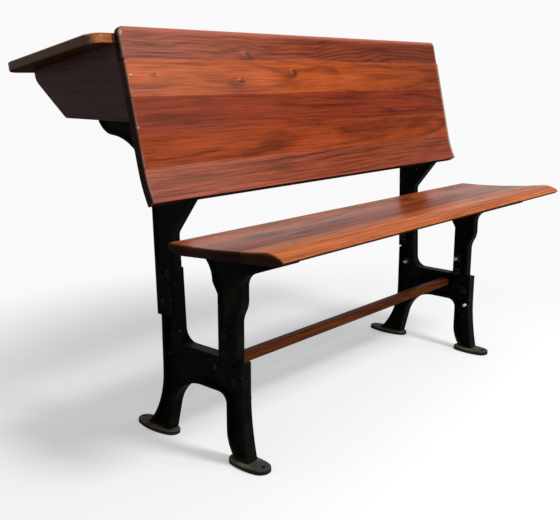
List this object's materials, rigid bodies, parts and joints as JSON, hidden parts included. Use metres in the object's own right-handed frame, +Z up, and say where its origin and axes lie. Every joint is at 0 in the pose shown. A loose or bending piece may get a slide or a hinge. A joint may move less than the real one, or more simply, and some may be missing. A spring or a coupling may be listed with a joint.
{
  "type": "school desk with lift lid",
  "caption": "Double school desk: slatted bench seat and leaning back rest on black cast-iron end frames, with a lift-lid wooden desk box behind the back",
  "frame": {"origin": "on the floor, at the centre of the four floor-fixing holes in the feet", "axes": "+X along the bench, -Y the side the bench is sat on from, +Z up"},
  "size_m": [1.116, 0.6649, 0.7781],
  "materials": {
    "black_iron": "black satin japanning, worn pale on the feet",
    "worn_steel": "dull, handled steel",
    "back_wood": "red-brown varnished pine, satin gloss",
    "seat_wood": "red-brown varnished pine, polished by use",
    "top_wood": "brown varnished pine, satin",
    "dark_wood": "dark stained pine, satin",
    "hinge_brass": "aged brass, dull"
  },
  "bodies": {
    "desk": {"left_leg_frame": "black_iron", "right_leg_frame": "black_iron", "left_desk_standard": "black_iron", "right_desk_standard": "black_iron", "left_seat_standard": "black_iron", "right_seat_standard": "black_iron", "left_frame_bolts": "worn_steel", "right_frame_bolts": "worn_steel", "left_frame_nuts": "worn_steel", "right_frame_nuts": "worn_steel", "stretcher_rail": "dark_wood", "stretcher_screws": "worn_steel", "seat_board_back": "seat_wood", "seat_board_middle": "seat_wood", "seat_board_front": "seat_wood", "seat_screws": "worn_steel", "back_board_1": "back_wood", "back_board_2": "back_wood", "back_board_3": "back_wood", "back_board_4": "back_wood", "back_board_5": "back_wood", "back_screws": "worn_steel", "box_left_side": "dark_wood", "box_right_side": "dark_wood", "box_bottom": "dark_wood", "knee_board": "dark_wood", "box_rear_rail": "dark_wood", "box_screws": "worn_steel", "hinge_strip": "top_wood", "left_hinge_strip_leaf": "hinge_brass", "right_hinge_strip_leaf": "hinge_brass", "left_hinge_pin": "hinge_brass", "right_hinge_pin": "hinge_brass"},
    "lid": {"lid_board_front": "top_wood", "lid_board_rear": "top_wood", "lid_left_batten": "dark_wood", "lid_right_batten": "dark_wood", "left_hinge_lid_leaf": "hinge_brass", "right_hinge_lid_leaf": "hinge_brass"}
  },
  "joints": [
    {"name": "lid_hinge", "type": "hinge", "parent": "desk", "child": "lid", "pos_m": [0, 0.15557, 0.75658], "axis": [1, 0, 0], "range_deg": [0, 170]}
  ]
}
